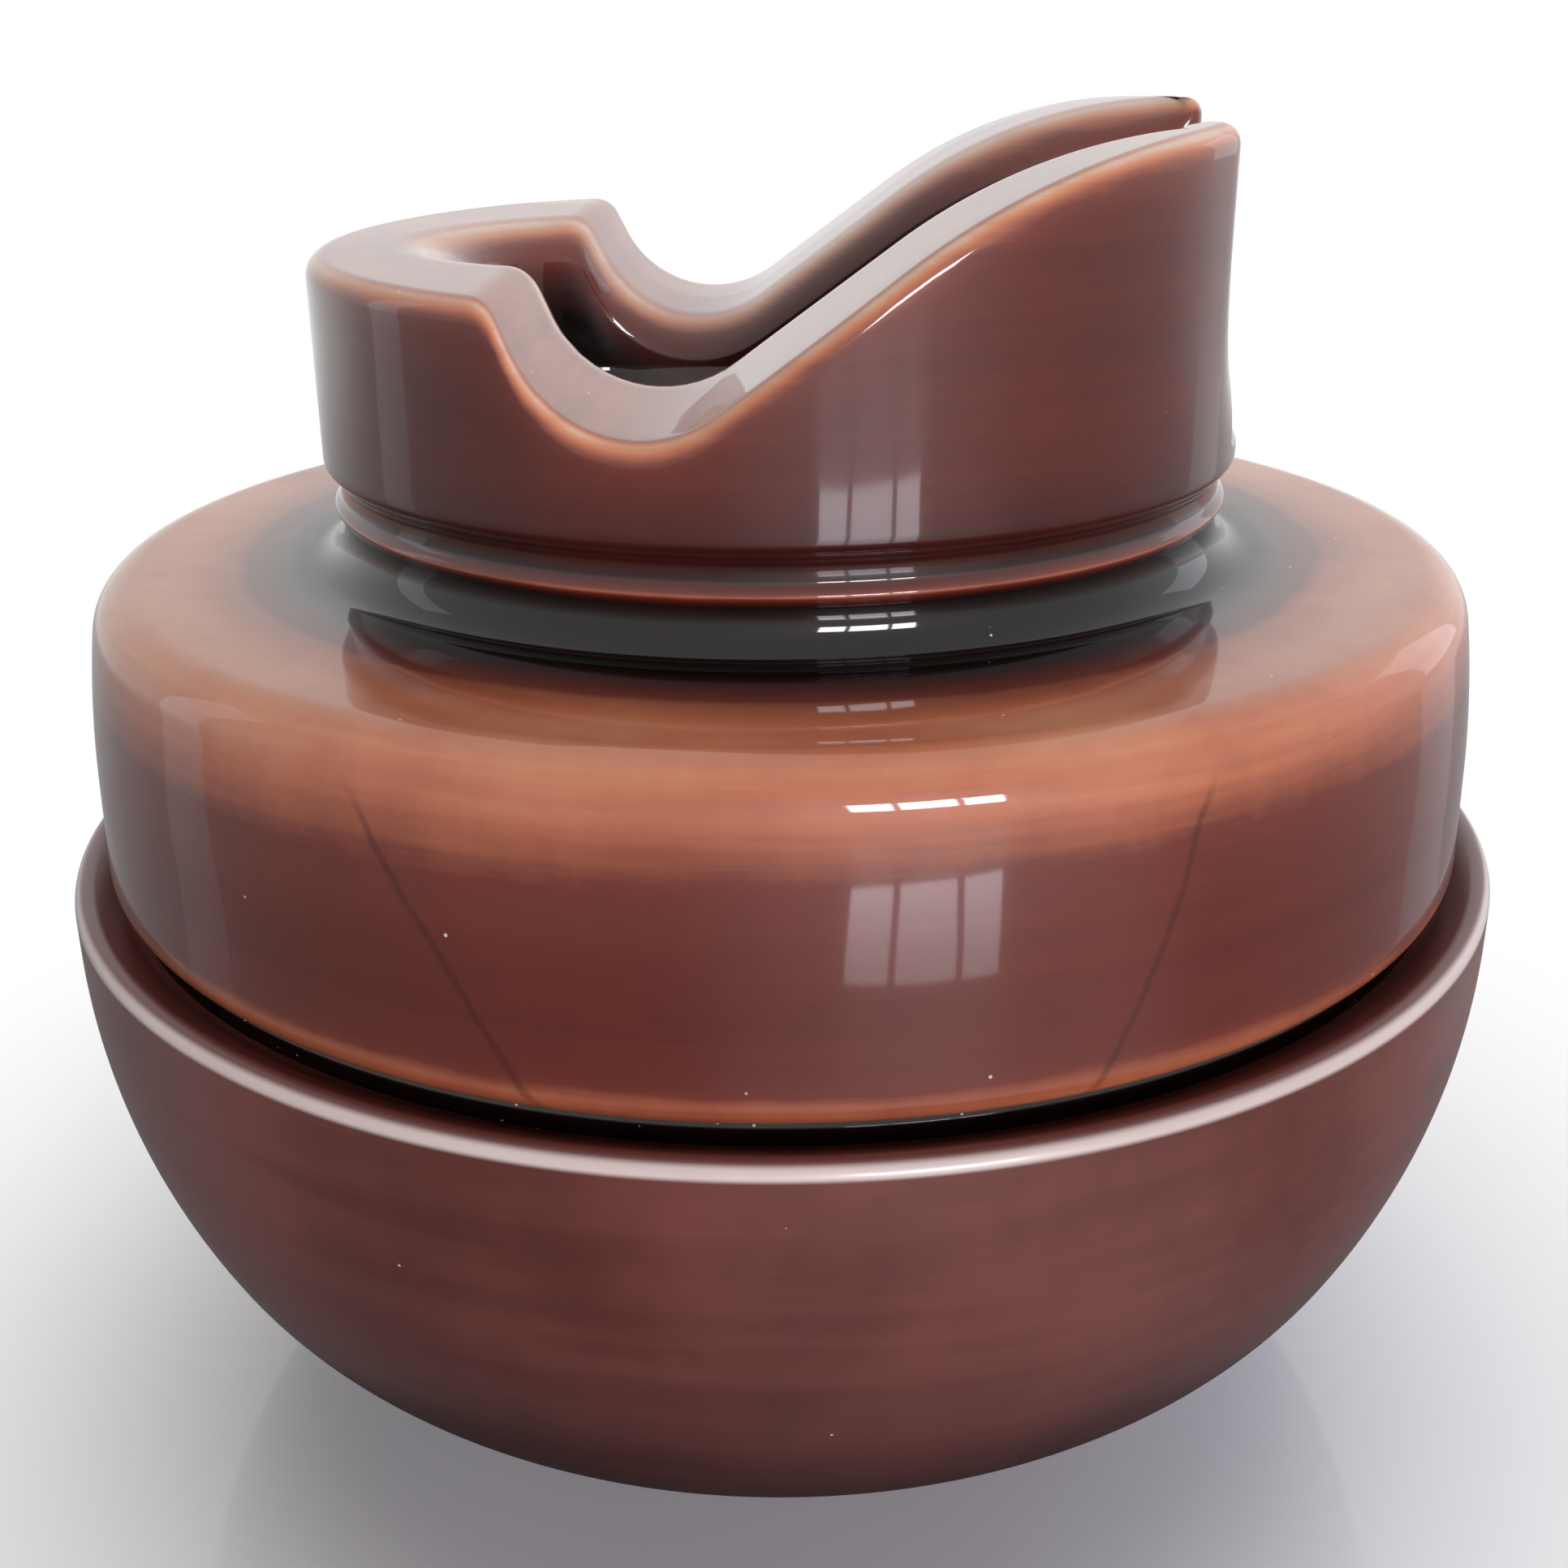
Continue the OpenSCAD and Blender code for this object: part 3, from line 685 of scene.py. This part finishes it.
class Room(Finish):
    """The world, built from nodes in the same way; x, y and z are the direction that is looked in."""

    def __init__(self, name):
        self.material = bpy.data.worlds.new(name)
        self.material.use_nodes = True
        self.tree = self.material.node_tree
        self.shader = self.tree.nodes["Background"]
        self.split(self.node("ShaderNodeTexCoord", out="Generated"))


room = Room("room")
right, ahead = room.x / room.radius, room.y / room.radius
walls = room.mix(right.ramp(-0.20, 0.36), (0.85, 0.79, 0.6, 1), (2.0, 2.2, 2.7, 1))
walls_x, walls_y = 0.25, 0.97
towards_walls = (walls_x * right + walls_y * ahead).ramp(0.40, 0.85)
wall_share = towards_walls * room.z.ramp(-0.05, 0.10) * room.z.ramp(0.80, 0.40)
ceiling_share = room.z.ramp(0.70, 0.97) * ahead.ramp(-0.3, 0.4)
light = room.mix(wall_share, (0.08, 0.08, 0.09, 1), walls)
light = room.mix(ceiling_share, light, (2.5, 2.4, 2.3, 1))
# Only diffuse light comes from that pattern; everything that is looked at or mirrored is plain white
plain = room.node("ShaderNodeLightPath", {}, {}, "Is Camera Ray")
plain += room.node("ShaderNodeLightPath", {}, {}, "Is Transmission Ray")
plain += room.node("ShaderNodeLightPath", {}, {}, "Is Glossy Ray")
room.feed(Color=room.mix(plain, light, (1, 1, 1, 1)))
bpy.context.scene.world = room.material


def lamp(name, bearing, height, distance, width, tall, shine, colour, shift=0.0):
    """Rectangular lamp that faces the insulator. bearing is in degrees from +Y towards +X, height in degrees
    above the floor, and shift moves it sideways. Its power is pi times area times shine, its radiance."""
    data = bpy.data.lights.new(name, "AREA")
    data.shape, data.size, data.size_y, data.color = "RECTANGLE", width, tall, colour
    data.energy = np.pi * width * tall * shine
    turned, raised = np.radians(bearing), np.radians(height)
    way = np.array([np.sin(turned) * np.cos(raised), np.cos(turned) * np.cos(raised), np.sin(raised)])
    across = np.array([np.cos(turned), -np.sin(turned), 0])
    made = bpy.data.objects.new(name, data)
    aim = np.array([0, 0, 0.1])
    made.location = distance * way + shift * across + aim
    made.rotation_euler = Vector(-way).to_track_quat("-Z", "Y").to_euler()
    made.visible_camera = False
    bpy.context.scene.collection.objects.link(made)


for number, (shift, width) in enumerate(((-0.235, 0.16), (0.0, 0.25), (0.245, 0.18))):
    lamp(f"window_{number + 1}", 156, 11, 1.6, width, 0.34, 34, (0.97, 0.92, 1.0), shift)
lamp("card_left", -80, 12, 1.5, 0.30, 1.1, 0.8, (0.8, 0.88, 1.0))
lamp("card_right", 52, 12, 1.5, 0.45, 0.7, 0.8, (0.85, 0.9, 1.0))

bpy.context.scene.view_settings.view_transform = "Standard"
